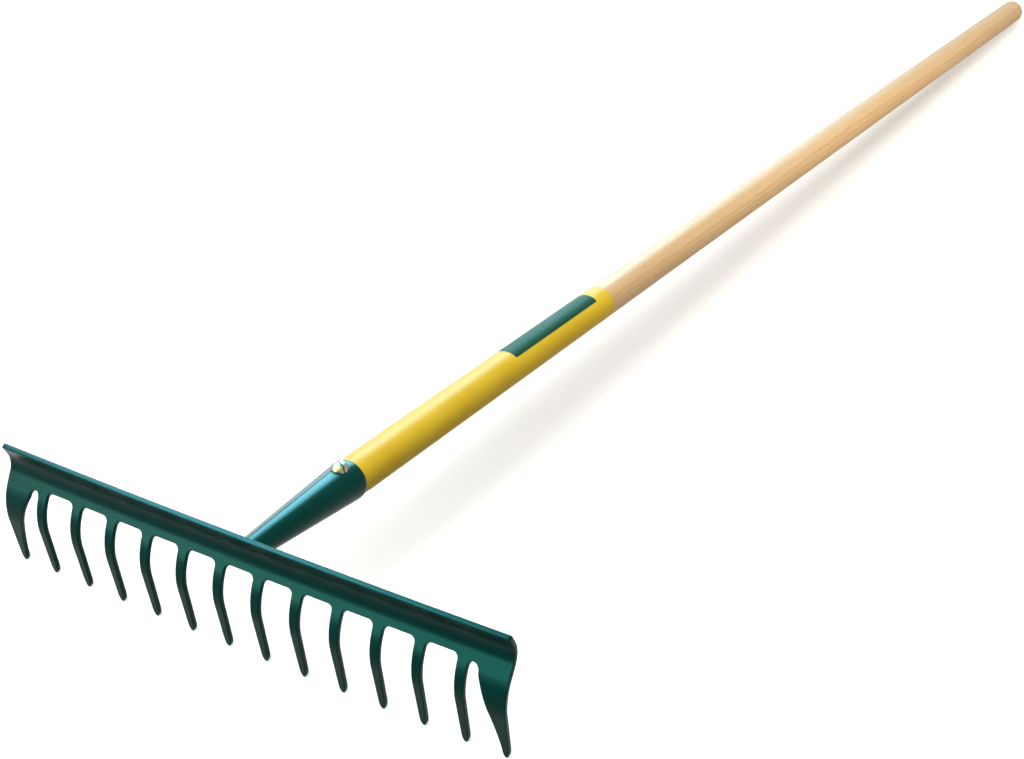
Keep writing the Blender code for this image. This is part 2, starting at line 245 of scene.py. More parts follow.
def around(radius: np.ndarray, y: np.ndarray | float, angle: np.ndarray) -> np.ndarray:
    """Points round the Y axis: a radius r and an angle a lie at (r cos a, y, r sin a)."""
    radius, y, angle = np.broadcast_arrays(radius, y, angle)
    return np.stack([radius * np.cos(angle), y, radius * np.sin(angle)], axis=-1)


def arc(centre: Span, radii: Span, first: float, last: float, steps: int) -> np.ndarray:
    """Points on an ellipse between two angles in degrees: the centre plus radii times cosine and sine."""
    angle = np.radians(np.linspace(first, last, steps + 1))
    return pairs(centre[0] + radii[0] * np.cos(angle), centre[1] + radii[1] * np.sin(angle))


def cut_away(thing: bpy.types.Object, cutter: bpy.types.Object) -> None:
    """Cuts an object with another, keeps the result in its mesh and removes the cutter.

    Args:
        thing: the object that is cut.
        cutter: the object that cuts it.
    """
    modifier = thing.modifiers.new("cut", "BOOLEAN")
    modifier.operation = "DIFFERENCE"
    modifier.solver = "EXACT"
    modifier.object = cutter
    graph = bpy.context.evaluated_depsgraph_get()
    result = bpy.data.meshes.new_from_object(thing.evaluated_get(graph))
    old = thing.data
    result.name = old.name
    thing.modifiers.clear()
    thing.data = result
    bpy.data.meshes.remove(old)
    bpy.data.objects.remove(cutter, do_unlink=True)


# Node trees.


@dataclass
class Wiring:
    """A node tree with short calls for the nodes that the finishes use."""

    tree: bpy.types.NodeTree

    def node(self, kind: str, inputs: dict[str | int, Value] | None = None,
             **settings: object) -> bpy.types.Node:
        """Adds a node.

        Args:
            kind: type name of the node, without its ShaderNode prefix.
            inputs: values or sockets for its inputs, by name or number.
            settings: properties of the node.

        Returns:
            The new node.
        """
        made = self.tree.nodes.new("ShaderNode" + kind)
        for key, value in settings.items():
            setattr(made, key, value)
        self.fill(made, inputs or {})
        return made

    def fill(self, node: bpy.types.Node, inputs: dict[str | int, Value]) -> None:
        """Feeds inputs of a node, by name or number."""
        for key, value in inputs.items():
            self.feed(node.inputs[key], value)

    def feed(self, socket: Socket, value: Value) -> None:
        """Links a socket to an input, or writes a plain value into it.

        Args:
            socket: the input.
            value: a socket, a number, a vector or a colour.
        """
        if isinstance(value, bpy.types.NodeSocket):
            self.tree.links.new(value, socket)
        elif socket.type == "RGBA" and len(value) == 3:
            socket.default_value = (*value, 1.0)
        else:
            socket.default_value = value

    def use(self, group: bpy.types.NodeTree, inputs: dict[str, Value]) -> dict[str, Socket]:
        """Places a node group in the tree and returns its outputs by name."""
        return dict(self.node("Group", inputs, node_tree=group).outputs.items())

    def compute(self, operation: str, *terms: Value, clamp: bool = False) -> Socket:
        """Works out one Math node on its terms and returns its output."""
        return self.node("Math", dict(enumerate(terms)), operation=operation, use_clamp=clamp).outputs[0]

    def spread(self, value: Value, low: float, high: float, to_low: float = 0.0,
               to_high: float = 1.0) -> Socket:
        """Maps a value from the range low to high into the range to_low to to_high, along a smooth curve."""
        inputs = {"Value": value, "From Min": low, "From Max": high, "To Min": to_low, "To Max": to_high}
        return self.node("MapRange", inputs, interpolation_type="SMOOTHSTEP").outputs[0]

    def blend(self, factor: Value, first: Value, second: Value) -> Socket:
        """Mixes two colours and returns the mixed colour."""
        return self.node("Mix", {0: factor, 6: first, 7: second}, data_type="RGBA").outputs[2]

    def noise(self, place: Value, scale: Value, detail: float = 3.0, roughness: float = 0.5) -> Socket:
        """Reads a noise at a place and returns its value from 0 to 1."""
        inputs = {"Vector": place, "Scale": scale, "Detail": detail, "Roughness": roughness}
        return self.node("TexNoise", inputs).outputs[0]

    def scaled(self, place: Value, scale: Triple) -> Socket:
        """Stretches a place by a factor along each axis."""
        return self.node("Mapping", {"Vector": place, "Scale": scale}).outputs[0]

    def coordinate(self, place: Value, axis: int) -> Socket:
        """One coordinate of a place, by the number of its axis."""
        return self.node("SeparateXYZ", {0: place}).outputs[axis]

    def own_place(self, stand: Stand, centre: Triple) -> Socket:
        """The shaded point in the rake's own frame, measured from a centre in that frame.

        Args:
            stand: how the rake lies on the floor.
            centre: where the pattern has its middle, in the rake's own frame.

        Returns:
            The place as a vector in metres.
        """
        spot = stand.matrix() @ Vector(centre)
        place = self.node("TexCoord").outputs["Object"]
        turned = {"Vector": place, "Location": spot[:], "Rotation": (stand.tilt, 0.0, 0.0)}
        return self.node("Mapping", turned, vector_type="TEXTURE").outputs[0]


def new_group(name: str, inputs: dict[str, str],
              outputs: dict[str, str]) -> tuple[Wiring, dict[str, Socket], bpy.types.Node]:
    """Makes an empty shader node group.

    Args:
        name: name of the group.
        inputs: socket kinds by input name.
        outputs: socket kinds by output name.

    Returns:
        The wiring of the group, the sockets of its inputs by name, and the node that takes its outputs.
    """
    tree = bpy.data.node_groups.new(name, "ShaderNodeTree")
    for side, sockets in (("INPUT", inputs), ("OUTPUT", outputs)):
        for label, kind in sockets.items():
            tree.interface.new_socket(label, in_out=side, socket_type="NodeSocket" + kind)
    given = tree.nodes.new("NodeGroupInput").outputs
    return Wiring(tree), dict(given.items()), tree.nodes.new("NodeGroupOutput")


@dataclass(frozen=True)
class CoatRelief:
    """The skin of a sprayed or dipped coat: small waves, a few specks of dust and a slow drift of tone.

    Scales are counts in a metre. A speck lies in the middle of a cell where a second noise allows one.
    """

    drift_scale: float = 14.0
    speck_scale: float = 260.0
    speck_size: Span = (0.16, 0.05)
    chance_scale: float = 70.0
    chance: Span = (0.62, 0.70)
    speck_height: float = 0.4

    def build(self) -> bpy.types.NodeTree:
        """Builds the group.

        Returns:
            A group that takes a place and a wave scale, and gives a height, a drift and specks.
        """
        outputs = {"Height": "Float", "Drift": "Float", "Specks": "Float"}
        wiring, given, wanted = new_group("coat_relief", {"Place": "Vector", "Waves": "Float"}, outputs)
        place = given["Place"]
        waves = wiring.noise(place, given["Waves"], detail=2.0, roughness=0.45)
        cells = wiring.node("TexVoronoi", {"Vector": place, "Scale": self.speck_scale}).outputs["Distance"]
        chance = wiring.noise(place, self.chance_scale, detail=1.0)
        specks = wiring.compute("MULTIPLY", wiring.spread(cells, *self.speck_size),
                                wiring.spread(chance, *self.chance))
        height = wiring.compute("MULTIPLY_ADD", specks, self.speck_height, waves)
        drift = wiring.noise(place, self.drift_scale, roughness=0.55)
        wiring.fill(wanted, {"Height": height, "Drift": drift, "Specks": specks})
        return wiring.tree


@dataclass(frozen=True)
class StickGrain:
    """Grain along a turned stick: growth rings cut lengthwise, fine fibres and short pores.

    The rings are sheets at equal distances from a pith that lies beside the stick and wanders along it.
    Each ring darkens slowly from its early wood and clears at once after its late wood.
    """

    wander_scale: Triple = (14.0, 1.1, 14.0)
    wander: float = 0.030
    pith_below: float = 0.052
    early: Span = (0.0, 0.78)
    late: Span = (0.90, 1.0)
    fibre_scale: Triple = (900.0, 16.0, 900.0)
    pore_scale: Triple = (1500.0, 70.0, 1500.0)
    pore_size: Span = (0.66, 0.74)
    pore_wood: Span = (0.1, 0.9)

    def build(self) -> bpy.types.NodeTree:
        """Builds the group.

        Returns:
            A group that takes a place in the rake's own frame and gives rings, fibres, pores and a height.
        """
        outputs = {"Rings": "Float", "Fibres": "Float", "Pores": "Float", "Height": "Float"}
        wiring, given, wanted = new_group("stick_grain", {"Place": "Vector", "Rings": "Float"}, outputs)
        place = given["Place"]
        drift = wiring.noise(wiring.scaled(place, self.wander_scale), 1.0, detail=2.0, roughness=0.4)
        aside = wiring.compute("ADD", wiring.coordinate(place, 0),
                               wiring.compute("MULTIPLY", drift, self.wander))
        above = wiring.compute("ADD", wiring.coordinate(place, 2), self.pith_below)
        squares = [wiring.compute("MULTIPLY", side, side) for side in (aside, above)]
        distance = wiring.compute("SQRT", wiring.compute("ADD", *squares))
        phase = wiring.compute("FRACT", wiring.compute("MULTIPLY", distance, given["Rings"]))
        rings = wiring.compute("SUBTRACT", wiring.spread(phase, *self.early),
                               wiring.spread(phase, *self.late), clamp=True)
        fibres = wiring.noise(wiring.scaled(place, self.fibre_scale), 1.0, detail=4.0, roughness=0.6)
        dashes = wiring.noise(wiring.scaled(place, self.pore_scale), 1.0, detail=1.0)
        pores = wiring.compute("MULTIPLY", wiring.spread(dashes, *self.pore_size),
                               wiring.spread(rings, *self.pore_wood))
        height = wiring.compute("SUBTRACT", fibres, pores)
        wiring.fill(wanted, {"Rings": rings, "Fibres": fibres, "Pores": pores, "Height": height})
        return wiring.tree


@dataclass(frozen=True)
class Groups:
    """The node groups that more than one finish uses."""

    relief: bpy.types.NodeTree
    grain: bpy.types.NodeTree

    @classmethod
    def make(cls) -> "Groups":
        """Builds each group once."""
        return cls(CoatRelief().build(), StickGrain().build())


# Finishes.


@dataclass
class Surface(Wiring):
    """A material's node tree, with the shaded point's place in the rake's own frame and the shared groups."""

    place: Socket
    groups: Groups

    def grain(self) -> dict[str, Socket]:
        """Places the stick's grain at the shaded point and returns its outputs."""
        return self.use(self.groups.grain, {"Place": self.place, "Rings": RING_COUNT})


@dataclass(frozen=True)
class Look:
    """What a finish varies over its surface: its tone, its roughness and the height of its relief."""

    tone: Socket
    rough: Socket
    height: Socket


@dataclass(frozen=True, kw_only=True)
class Finish:
    """A finish with two tones, a range of roughness, a level and a tint of gloss, and a fine relief."""

    name: str
    colour: Colour
    deep: Colour
    rough: Span
    metal: float = 0.0
    gloss: float = 0.5
    sheen: Colour = (1.0, 1.0, 1.0)
    bump: float
    depth: float
    centre: Triple = (0.0, 0.0, 0.0)

    def look(self, surface: Surface) -> Look:
        """Wires what varies over the surface, which each finish does in its own way."""
        raise NotImplementedError

    def material(self, stand: Stand, groups: Groups) -> bpy.types.Material:
        """Builds the material.

        Args:
            stand: how the rake lies on the floor.
            groups: the shared node groups.

        Returns:
            The finished material.
        """
        material = bpy.data.materials.new(self.name)
        material.use_nodes = True
        tree = material.node_tree
        surface = Surface(tree, Wiring(tree).own_place(stand, self.centre), groups)
        look = self.look(surface)
        relief = {"Height": look.height, "Strength": self.bump, "Distance": self.depth}
        normal = surface.node("Bump", relief).outputs[0]
        surface.fill(tree.nodes["Principled BSDF"], {
            "Base Color": look.tone, "Roughness": look.rough, "Normal": normal, "Metallic": self.metal,
            "Specular IOR Level": self.gloss, "Specular Tint": self.sheen})
        return material


@dataclass(frozen=True, kw_only=True)
class Coat(Finish):
    """A finish over the shared coat relief, with whose slow drift its tone and its roughness change."""

    waves: float
    tone_drift: Span = (0.3, 0.7)
    rough_drift: Span = (0.2, 0.8)

    def plain(self, surface: Surface) -> tuple[Look, dict[str, Socket]]:
        """Wires the coat with nothing added to it.

        Args:
            surface: the material's node tree.

        Returns:
            The coat's look and the outputs of its relief.
        """
        skin = surface.use(surface.groups.relief, {"Place": surface.place, "Waves": self.waves})
        tone = surface.blend(surface.spread(skin["Drift"], *self.tone_drift), self.deep, self.colour)
        rough = surface.spread(skin["Drift"], *self.rough_drift, *self.rough)
        return Look(tone, rough, skin["Height"]), skin


@dataclass(frozen=True, kw_only=True)
class Enamel(Coat):
    """Green gloss enamel on steel: specks of dust roughen it, and its rounded edges carry a painted shade."""

    colour: Colour = (0.0006, 0.045, 0.033)
    deep: Colour = (0.0005, 0.038, 0.028)
    # The edge tone is a darker, greyer green: painted shade on the rounded edges.
    edge: Colour = (0.0009, 0.041, 0.031)
    sheen: Colour = (0.11, 0.90, 1.0)
    rough: Span = (0.269, 0.288)
    speck_rough: float = 0.12
    edge_shade_drift: Span = (0.25, 0.75)
    edge_shade_share: Span = (0.3, 1.0)
    gloss: float = 0.07
    waves: float = 420.0
    bump: float = 0.5
    depth: float = 0.00002

    def look(self, surface: Surface) -> Look:
        """Blends in a painted shade on the rounded edges by the mesh's own mark, in patches, and dulls the
        specks.

        Args:
            surface: the material's node tree.

        Returns:
            The tone, the roughness and the height.
        """
        plain, skin = self.plain(surface)
        # The mesh's edge mark, broken into patches by the drift, lays that painted shade on the rounded
        # edges.
        rim = surface.node("Attribute", attribute_name="edge").outputs["Fac"]
        thin = surface.spread(skin["Drift"], *self.edge_shade_drift, *self.edge_shade_share)
        painted_edge_shade = surface.compute("MULTIPLY", rim, thin)
        rough = surface.compute("MULTIPLY_ADD", skin["Specks"], self.speck_rough, plain.rough)
        return Look(surface.blend(painted_edge_shade, plain.tone, self.edge), rough, plain.height)


@dataclass(frozen=True, kw_only=True)
class YellowLacquer(Coat):
    """Yellow lacquer over wood, through which the grain just shows as relief."""

    colour: Colour = (0.87, 0.63, 0.045)
    deep: Colour = (0.82, 0.56, 0.034)
    rough: Span = (0.38, 0.46)
    gloss: float = 0.055
    waves: float = 300.0
    bump: float = 0.4
    depth: float = 0.00004
    ring_share: float = 0.12
    grain_height: float = 0.5

    def look(self, surface: Surface) -> Look:
        """Adds the wood's rings to the coat's tone and its grain to the coat's height.

        Args:
            surface: the material's node tree.

        Returns:
            The tone, the roughness and the height.
        """
        plain, _ = self.plain(surface)
        grain = surface.grain()
        rings = surface.compute("MULTIPLY", grain["Rings"], self.ring_share)
        raised = surface.compute("MULTIPLY", grain["Height"], self.grain_height)
        height = surface.compute("ADD", raised, plain.height)
        return Look(surface.blend(rings, plain.tone, self.deep), plain.rough, height)


@dataclass(frozen=True, kw_only=True)
class LabelFilm(Coat):
    """A plain dark green printed film with a matt surface."""

    colour: Colour = (0.006, 0.074, 0.040)
    deep: Colour = (0.005, 0.062, 0.034)
    rough: Span = (0.42, 0.50)
    gloss: float = 0.035
    waves: float = 600.0
    bump: float = 0.3
    depth: float = 0.00001

    def look(self, surface: Surface) -> Look:
        """Takes the plain coat as it is."""
        return self.plain(surface)[0]


@dataclass(frozen=True, kw_only=True)
class ZincPlate(Coat):
    """Bright zinc on turned steel, with rings left by the tool, yellowed patches and a painted shade in the
    slot.
    """

    slot_half: float
    slot_turn: float
    slot_fade: Span = (0.00005, 0.00001)
    slot_rough: float = 0.6
    colour: Colour = (0.23, 0.28, 0.30)
    deep: Colour = (0.31, 0.30, 0.10)
    # A dark tone painted as the shade inside the slot.
    slot_shade: Colour = (0.05, 0.05, 0.035)
    rough: Span = (0.26, 0.38)
    metal: float = 1.0
    waves: float = 900.0
    bump: float = 0.12
    depth: float = 0.00002
    ring_scale: float = 1400.0
    ring_bend: float = 1.5
    patch_scale: float = 320.0
    patch_size: Span = (0.42, 0.62)

    def look(self, surface: Surface) -> Look:
        """Lays yellowed patches over the zinc, paints a straight stripe dark where the slot runs as its
        shade, and roughens it.

        Args:
            surface: the material's node tree.

        Returns:
            The tone, the roughness and the height.
        """
        place = surface.place
        plain, _ = self.plain(surface)
        turning = {"Vector": place, "Scale": self.ring_scale, "Distortion": self.ring_bend, "Detail": 1.0}
        rings = surface.node("TexWave", turning, wave_type="RINGS", rings_direction="Z").outputs["Fac"]
        across = surface.node("Mapping", {"Vector": place, "Rotation": (0.0, 0.0, -self.slot_turn)})
        aside = surface.compute("ABSOLUTE", surface.coordinate(across.outputs[0], 1))
        # The slot's stripe, where shade is painted and the zinc is rougher.
        slot = surface.spread(aside, self.slot_half + self.slot_fade[0], self.slot_half + self.slot_fade[1])
        patches = surface.spread(surface.noise(place, self.patch_scale, detail=2.0), *self.patch_size)
        tone = surface.blend(slot, surface.blend(patches, self.colour, self.deep), self.slot_shade)
        dulled = surface.compute("MULTIPLY", slot, self.slot_rough)
        return Look(tone, surface.compute("MAXIMUM", plain.rough, dulled), rings)


@dataclass(frozen=True, kw_only=True)
class VarnishedWood(Finish):
    """Pale turned wood under a thin clear varnish, browner at the rounded grip end."""

    handle_end: float
    colour: Colour = (0.82, 0.61, 0.35)
    deep: Colour = (0.68, 0.42, 0.19)
    pore: Colour = (0.30, 0.14, 0.05)
    grip: Colour = (0.42, 0.21, 0.08)
    rough: Span = (0.36, 0.50)
    gloss: float = 0.11
    bump: float = 0.35
    depth: float = 0.00008
    ring_share: float = 0.45
    fibre_dark: Span = (0.35, 0.75)
    fibre_share: float = 0.35
    fibre_rough: Span = (0.3, 0.7)
    streak_scale: Triple = (30.0, 2.5, 30.0)
    streak_dark: Span = (0.4, 0.8)
    streak_share: float = 0.35
    pore_share: float = 0.6
    grip_share: float = 0.55
    grip_fade: Span = (0.016, 0.002)

    def look(self, surface: Surface) -> Look:
        """Darkens the pale wood by its rings, fibres, slow streaks and pores, and browns the grip end.

        Args:
            surface: the material's node tree.

        Returns:
            The tone, the roughness and the height.
        """
        grain = surface.grain()
        streaks = surface.noise(surface.scaled(surface.place, self.streak_scale), 1.0, detail=2.0)
        end = surface.spread(surface.coordinate(surface.place, 1), self.handle_end - self.grip_fade[0],
                             self.handle_end - self.grip_fade[1], 0.0, self.grip_share)
        layers = (
            (surface.compute("MULTIPLY", grain["Rings"], self.ring_share), self.deep),
            (surface.spread(grain["Fibres"], *self.fibre_dark, 0.0, self.fibre_share), self.deep),
            (surface.spread(streaks, *self.streak_dark, 0.0, self.streak_share), self.deep),
            (surface.compute("MULTIPLY", grain["Pores"], self.pore_share), self.pore),
            (end, self.grip),
        )
        tone = self.colour
        for share, darker in layers:
            tone = surface.blend(share, tone, darker)
        rough = surface.spread(grain["Fibres"], *self.fibre_rough, *self.rough)
        return Look(tone, rough, grain["Height"])


@dataclass(frozen=True)
class Bench:
    """What every piece is made with: the stand that it is laid on and the shared node groups."""

    stand: Stand
    groups: Groups

    def settle(self, thing: bpy.types.Object, node: str, finish: Finish) -> bpy.types.Object:
        """Gives a built piece its finish and its body, and hides the CAD node that it stands for.

        Args:
            thing: the built piece.
            node: name of the CAD node.
            finish: the piece's own finish.

        Returns:
            The finished piece.
        """
        thing.data.materials.clear()
        thing.data.materials.append(finish.material(self.stand, self.groups))
        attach(thing, "root")
        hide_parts(node)
        return thing


# Head.


@dataclass
class Head:
    """The pressed steel comb: a flat blank whose edges are rounded, pressed to a section and swept."""

    sheet: float = 0.0035
    edge_round: float = 0.0006
    top_corner: float = 0.0015
    narrow_teeth: int = 12
    pitch: float = 0.0304
    gap_top: float = 0.0291
    tooth_length: float = 0.0690
    nose: float = 0.0080
    root_width: float = 0.0074
    tip_width: float = 0.0052
    fillet: float = 0.0042
    outer_gap: float = 0.0079
    outer_apex: float = 0.0028
    outer_arch: float = 0.0053
    outer_drop: float = 0.0019
    end_width: float = 0.0212
    end_tip: float = 0.0051
    end_draft: float = 0.0016
    end_hollow: float = 0.0019
    ease: float = 0.015
    rim_height: float = 0.0170
    lip_lean: float = math.radians(56.7)
    lip_run: float = 0.0080
    hollow_radius: float = 0.0176
    hollow_turn: float = math.radians(57.8)
    waist_run: float = 0.0066
    bow_radius: float = 0.0417
    bow_turn: float = math.radians(39.2)
    end_sweep: float = 0.0024
    band_rows: int = 44
    gap_columns: int = 8
    tooth_rows: int = 34
    nose_rows: int = 8
    tooth_columns: int = 6
    end_columns: int = 14
    fillet_steps: int = 7
    arch_steps: int = 8
    round_steps: int = 4
    section_steps: int = 1199

    @property
    def blank_depth(self) -> float:
        """Depth of the flat blank from its rim to its tooth tips."""
        return self.gap_top + self.tooth_length

    @property
    def nose_start(self) -> float:
        """Depth at which the rounded noses of the teeth begin."""
        return self.blank_depth - self.nose

    @property
    def outer_tooth(self) -> float:
        """Place of the outermost narrow tooth along the head."""
        return (self.narrow_teeth - 1) / 2 * self.pitch

    @property
    def end_inner(self) -> float:
        """Inner side of the wide end tooth at its root."""
        return self.outer_tooth + self.root_width / 2 + self.outer_gap

    @property
    def half_width(self) -> float:
        """Half the head's width."""
        return self.end_inner + self.end_width

    @property
    def arch_depth(self) -> float:
        """Depth at which the arch beside the end tooth meets the teeth."""
        return self.gap_top + self.outer_drop + self.outer_arch

    def section(self, depth: np.ndarray) -> tuple[np.ndarray, np.ndarray, np.ndarray]:
        """The pressed sheet's middle line, as the sum of what each straight and each arc adds up to a depth.

        Along an arc the heading grows evenly with depth, and its shares of Y and Z are the integrals of the
        heading's cosine and of its negative sine.

        Args:
            depth: distances along the sheet from the rim's edge.

        Returns:
            Y, Z and the heading at each depth.
        """
        hollow = self.hollow_radius * self.hollow_turn
        bow = self.bow_radius * self.bow_turn
        rest = self.blank_depth - self.lip_run - hollow - self.waist_run - bow
        runs = [(self.lip_run, 0.0), (hollow, 1 / self.hollow_radius), (self.waist_run, 0.0),
                (bow, -1 / self.bow_radius), (rest, 0.0)]
        y = np.zeros_like(depth)
        z = np.full_like(depth, self.rim_height)
        heading = np.full_like(depth, self.lip_lean)
        start, angle = 0.0, self.lip_lean
        for length, bend in runs:
            part = np.clip(depth - start, 0.0, length)
            if bend:
                y += (np.sin(angle + bend * part) - math.sin(angle)) / bend
                z += (np.cos(angle + bend * part) - math.cos(angle)) / bend
            else:
                y += part * math.cos(angle)
                z -= part * math.sin(angle)
            heading += bend * part
            start += length
            angle += bend * length
        return y, z, heading

    def press(self, x: np.ndarray | float, depth: np.ndarray, forward: np.ndarray | float) -> np.ndarray:
        """Presses points of the flat blank: the middle line's point plus the way forward, then the sweep.

        Args:
            x: places along the head.
            depth: depths along the sheet.
            forward: distances in front of the sheet's middle.

        Returns:
            Points in the rake's own frame.
        """
        x, depth, forward = np.broadcast_arrays(x, depth, forward)
        y, z, heading = self.section(depth)
        y = y - forward * np.sin(heading) + self.end_sweep * (x / self.half_width) ** 2
        z = z - forward * np.cos(heading)
        return np.stack([x, y, z], axis=-1)

    def back_place(self, height: np.ndarray) -> np.ndarray:
        """How far along the handle the blade's back lies at the middle of the head.

        Args:
            height: heights on the back.

        Returns:
            The place at each height, read from closely spaced points of the back.
        """
        depth = np.linspace(0.0, self.blank_depth, self.section_steps + 1)
        back = self.press(0.0, depth, -self.sheet / 2)
        return np.interp(height, back[::-1, 2], back[::-1, 1])

    def lower_edge(self) -> np.ndarray:
        """The band's lower boundary over the right half, from the middle out, inset by the edge's round.

        Between two teeth it is a straight line between two quarter circles, and beside the end tooth two
        quarter ellipses. Across each tooth's root it is a straight line.

        Returns:
            (x, depth) rows with x growing.
        """
        inset = self.edge_round
        root = self.gap_top + self.fillet
        bend = (self.fillet + inset, self.fillet + inset)
        half = self.root_width / 2
        across = np.linspace(0.0, 1.0, self.tooth_columns + 1)[:-1]
        pieces = []
        start = 0.0
        for index in range(self.narrow_teeth // 2):
            x = (index + 0.5) * self.pitch
            inner = x - half - self.fillet
            outer = x + half + self.fillet
            last = index == self.narrow_teeth // 2 - 1
            far = self.arch_depth if last else root
            pieces.append(pairs(np.linspace(start, inner, self.gap_columns + 1)[:-1], self.gap_top - inset))
            pieces.append(arc((inner, root), bend, -90, 0, self.fillet_steps)[:-1])
            pieces.append(pairs(x - half + inset + 2 * (half - inset) * across, root + (far - root) * across))
            if not last:
                pieces.append(arc((outer, root), bend, -180, -90, self.fillet_steps)[:-1])
                start = outer
        apex = (self.end_inner - self.outer_gap + self.outer_apex, self.arch_depth)
        rise = self.outer_arch + inset
        wide = self.outer_gap - self.outer_apex + inset
        pieces.append(arc(apex, (self.outer_apex + inset, rise), -180, -90, self.fillet_steps)[:-1])
        pieces.append(arc(apex, (wide, rise), -90, 0, self.arch_steps)[:-1])
        corner = self.half_width - self.top_corner
        line = np.linspace(self.end_inner + inset, corner, self.end_columns + 1)[:-1]
        turn = corner + (self.top_corner - inset) * np.sin(quarter_turn(self.round_steps))
        pieces.append(pairs(np.concatenate([line, turn]), self.arch_depth))
        return np.concatenate(pieces)

    def end_outer(self, depth: np.ndarray) -> np.ndarray:
        """Outer side of the end tooth: straight down, then drawn in evenly from the gap's top to the nose."""
        share = np.clip((depth - self.gap_top) / (self.nose_start - self.gap_top), 0.0, 1.0)
        return self.half_width - self.end_draft * share

    def band(self) -> Grid:
        """The band above the teeth as a grid: each column runs evenly from the rim to the lower boundary.

        Returns:
            x and depth, with rows from the rim down and columns from left to right.
        """
        right = self.lower_edge()
        x, low = np.concatenate([right[:0:-1] * [-1, 1], right]).T
        bend = self.top_corner - self.edge_round
        over = np.clip(np.abs(x) - self.half_width + self.top_corner, 0.0, bend)
        top = self.top_corner - np.sqrt(bend ** 2 - over ** 2)
        depth = top + shares(self.band_rows) * (low - top)
        out = np.clip(np.abs(x) - self.end_inner, 0.0, None)
        pull = (self.half_width - self.end_outer(depth)) / self.end_width
        return x - np.sign(x) * out * pull, depth

    def tooth(self, sides: Grid, across: np.ndarray, roots: np.ndarray | float) -> Grid:
        """A tooth as a grid between its two sides, with half an ellipse as its nose.

        Args:
            sides: x of both sides at each row from the root to the nose.
            across: share of the way from one side to the other at each column.
            roots: depth of the root at each column.

        Returns:
            x and depth, with rows from the root down.
        """
        near, far = sides
        inset = self.edge_round
        straight = near + inset + across * (far - near - 2 * inset)
        down = roots + shares(self.tooth_rows) * (self.nose_start - roots) + 0 * across
        turn = quarter_turn(self.nose_rows)[1:, None]
        half = (far[-1] - near[-1]) / 2 - inset
        nose = (near[-1] + far[-1]) / 2 + half * np.cos(turn) * (2 * across - 1)
        bottom = self.nose_start + (self.nose - inset) * np.sin(turn) + 0 * across
        return np.concatenate([straight, nose]), np.concatenate([down, bottom])

    def narrow_tooth(self, x: float, roots: np.ndarray) -> Grid:
        """A narrow tooth at a place along the head, whose sides draw together evenly down to the nose."""
        half = self.root_width / 2 + (self.tip_width - self.root_width) / 2 * shares(self.tooth_rows)
        return self.tooth((x - half, x + half), np.linspace(0.0, 1.0, self.tooth_columns + 1), roots)

    def end_tooth(self, side: float, band_x: np.ndarray) -> Grid:
        """A wide end tooth between its hollow inner side and its drawn-in outer side.

        The inner side is a straight line with a parabola added, and its share of the way down is eased in by
        an exponential so that it leaves the arch without a corner.

        Args:
            side: 1 for the right end, -1 for the left end.
            band_x: x of the band's last row over this tooth.

        Returns:
            x and depth, with rows from the root down.
        """
        share = shares(self.tooth_rows)
        eased = (share - self.ease * (1 - np.exp(-share / self.ease))) / (1 - self.ease)
        tip = self.half_width - self.end_draft - self.end_tip
        inner = self.end_inner + eased * (tip - self.end_inner) + self.end_hollow * 4 * eased * (1 - eased)
        outer = self.end_outer(self.arch_depth + share * (self.nose_start - self.arch_depth))
        spans = np.abs(band_x)
        across = (spans - spans.min()) / (spans.max() - spans.min())
        x, depth = self.tooth((inner, outer), across, self.arch_depth)
        return side * x, depth

    def teeth(self, x: np.ndarray, roots: np.ndarray) -> list[tuple[int, int, Grid]]:
        """All the teeth from left to right, each under its own columns of the band.

        Args:
            x: x of the band's last row.
            roots: depth of the band's last row.

        Returns:
            The first column, the last column and the grid of each tooth.
        """
        reach = self.root_width / 2 - self.edge_round + NEARLY
        limit = self.end_inner + self.edge_round - NEARLY
        left = np.flatnonzero(x <= -limit)
        right = np.flatnonzero(x >= limit)
        teeth = [(left[0], left[-1], self.end_tooth(-1.0, x[left]))]
        for index in range(self.narrow_teeth):
            centre = (index - (self.narrow_teeth - 1) / 2) * self.pitch
            under = np.flatnonzero(np.abs(x - centre) <= reach)
            teeth.append((under[0], under[-1], self.narrow_tooth(centre, roots[under])))
        teeth.append((right[0], right[-1], self.end_tooth(1.0, x[right])))
        return teeth

    def boundary(self, band: Grid, teeth: list[tuple[int, int, Grid]]) -> np.ndarray:
        """The comb's boundary: along the rim, down the right side, round each tooth and up the left side.

        Args:
            band: x and depth of the band.
            teeth: the teeth with their columns of the band.

        Returns:
            (x, depth) rows in order round the comb.
        """
        x, depth = band
        loop = [(x[0], depth[0]), (x[1:, -1], depth[1:, -1])]
        ahead = x.shape[1] - 1
        for first, last, (tooth_x, tooth_depth) in reversed(teeth):
            loop.append((x[-1, ahead - 1:last:-1], depth[-1, ahead - 1:last:-1]))
            skip = 0 if last < ahead else 1
            loop.append((tooth_x[skip:, -1], tooth_depth[skip:, -1]))
            loop.append((tooth_x[-2::-1, 0], tooth_depth[-2::-1, 0]))
            ahead = first
        loop.append((x[-2:0:-1, 0], depth[-2:0:-1, 0]))
        return np.concatenate([pairs(*part) for part in loop])

